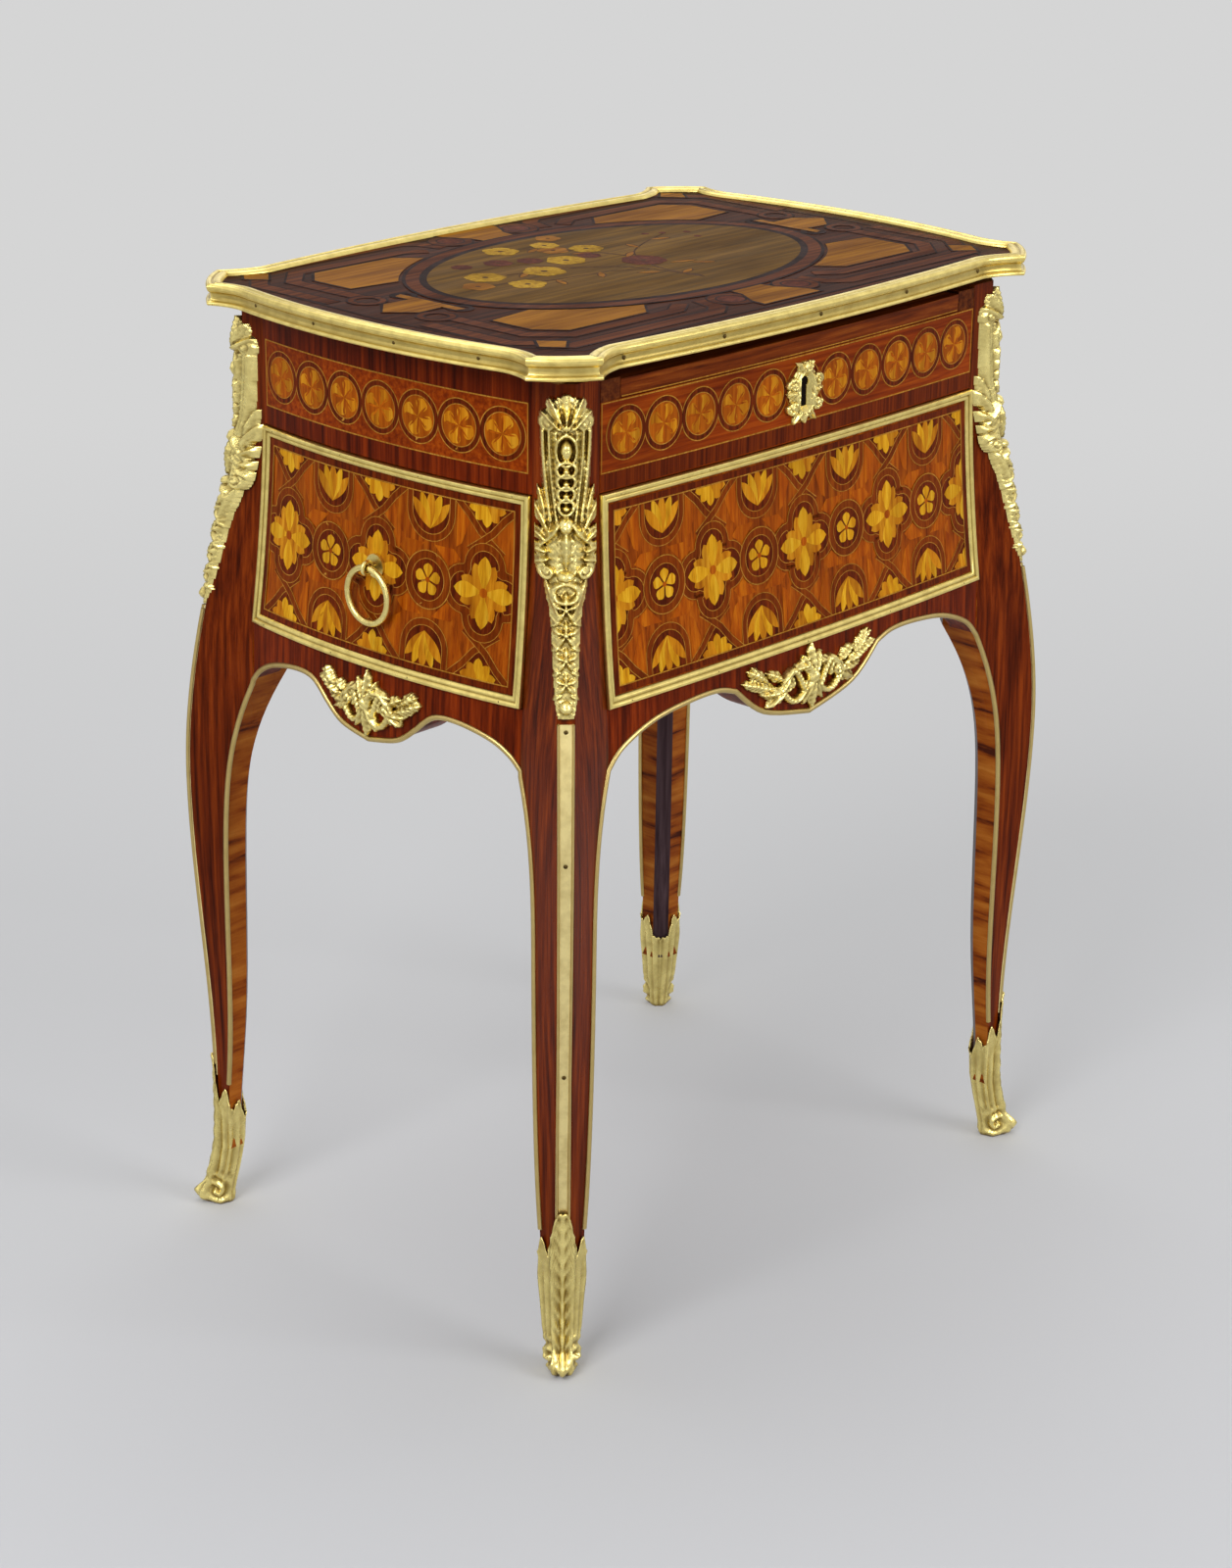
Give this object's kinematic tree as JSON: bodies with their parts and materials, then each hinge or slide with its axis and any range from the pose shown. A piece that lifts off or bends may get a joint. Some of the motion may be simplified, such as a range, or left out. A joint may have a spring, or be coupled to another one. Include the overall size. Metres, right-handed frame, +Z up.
{
  "type": "dressing table",
  "caption": "Small dressing table on curved legs with gilt mounts, marquetry panels, a sliding top, a coupled upper drawer with writing slide and a side drawer.",
  "frame": {"origin": "on the floor, under the middle of the table", "axes": "+Z up, +X to the right seen from the front, -Y towards the front"},
  "size_m": [0.5308, 0.3864, 0.71],
  "materials": {
    "veneer": "french polished reddish-brown veneer",
    "marquetry": "french polished inlaid veneers",
    "oak": "plain waxed oak",
    "gilt": "gilt bronze, burnished and matt",
    "brass": "plain brass",
    "steel": "filed steel",
    "mirror": "silvered glass in a thin frame"
  },
  "bodies": {
    "carcass": {"leg_front_left": "veneer", "sabot_front_left": "gilt", "corner_mount_front_left": "gilt", "leg_front_right": "veneer", "sabot_front_right": "gilt", "corner_mount_front_right": "gilt", "leg_back_left": "veneer", "sabot_back_left": "gilt", "corner_mount_back_left": "gilt", "leg_back_right": "veneer", "sabot_back_right": "gilt", "corner_mount_back_right": "gilt", "corner_fillets": "gilt", "frieze_right": "marquetry", "frieze_left": "marquetry", "frieze_back": "marquetry", "panel_front": "marquetry", "panel_frame_front": "gilt", "panel_back": "marquetry", "panel_frame_back": "gilt", "panel_right": "marquetry", "panel_frame_right": "gilt", "apron_front": "veneer", "apron_mount_front": "gilt", "apron_right": "veneer", "apron_mount_right": "gilt", "apron_back": "veneer", "apron_mount_back": "gilt", "apron_left": "veneer", "apron_mount_left": "gilt", "dust_board": "oak", "bottom_board": "oak", "drawer_guides": "oak", "side_drawer_runners": "oak", "top_rails": "oak", "pinion_brackets": "brass"},
    "pinion_left": {"pinion_left": "brass"},
    "pinion_right": {"pinion_right": "brass"},
    "upper_drawer": {"drawer_front": "marquetry", "drawer_cheek_blocks": "oak", "drawer_sides": "oak", "drawer_back": "oak", "drawer_bottom": "oak", "drawer_partitions": "oak", "mirror_panel": "mirror", "lock_case": "steel", "escutcheon": "gilt", "drawer_racks": "brass"},
    "writing_slide": {"writing_slide": "veneer"},
    "top": {"top_board": "marquetry", "top_rim": "gilt", "top_battens": "oak"},
    "side_drawer": {"side_drawer_front": "marquetry", "side_drawer_frame": "gilt", "ring_rosette": "gilt", "side_drawer_sides": "oak", "side_drawer_end": "oak", "side_drawer_bottom": "oak"},
    "ring": {"ring_handle": "gilt"}
  },
  "joints": [
    {"name": "drawer_slide", "type": "slide", "parent": "carcass", "child": "upper_drawer", "axis": [0, -1, 0], "range_m": [0, 0.14]},
    {"name": "top_slide", "type": "slide", "parent": "carcass", "child": "top", "axis": [0, 1, 0], "range_m": [0, 0.14]},
    {"name": "pinion_left_turn", "type": "hinge", "parent": "carcass", "child": "pinion_left", "pos_m": [-0.20297, 0, 0.68], "axis": [0, 0, 1], "range_deg": [-1075, 5]},
    {"name": "pinion_right_turn", "type": "hinge", "parent": "carcass", "child": "pinion_right", "pos_m": [0.20297, 0, 0.68], "axis": [0, 0, 1], "range_deg": [-5, 1075]},
    {"name": "writing_slide_out", "type": "slide", "parent": "upper_drawer", "child": "writing_slide", "axis": [0, -1, 0], "range_m": [0, 0.2]},
    {"name": "side_drawer_slide", "type": "slide", "parent": "carcass", "child": "side_drawer", "axis": [-1, 0, 0], "range_m": [0, 0.24]},
    {"name": "ring_hinge", "type": "hinge", "parent": "side_drawer", "child": "ring", "pos_m": [-0.25383, 0, 0.541], "axis": [0, 1, 0], "range_deg": [0, 85]}
  ],
  "couplings": [
    {"joint": "top_slide", "follows": "drawer_slide", "ratio": 1},
    {"joint": "pinion_left_turn", "follows": "drawer_slide", "rad_per_m": -133.33},
    {"joint": "pinion_right_turn", "follows": "drawer_slide", "rad_per_m": 133.33}
  ]
}
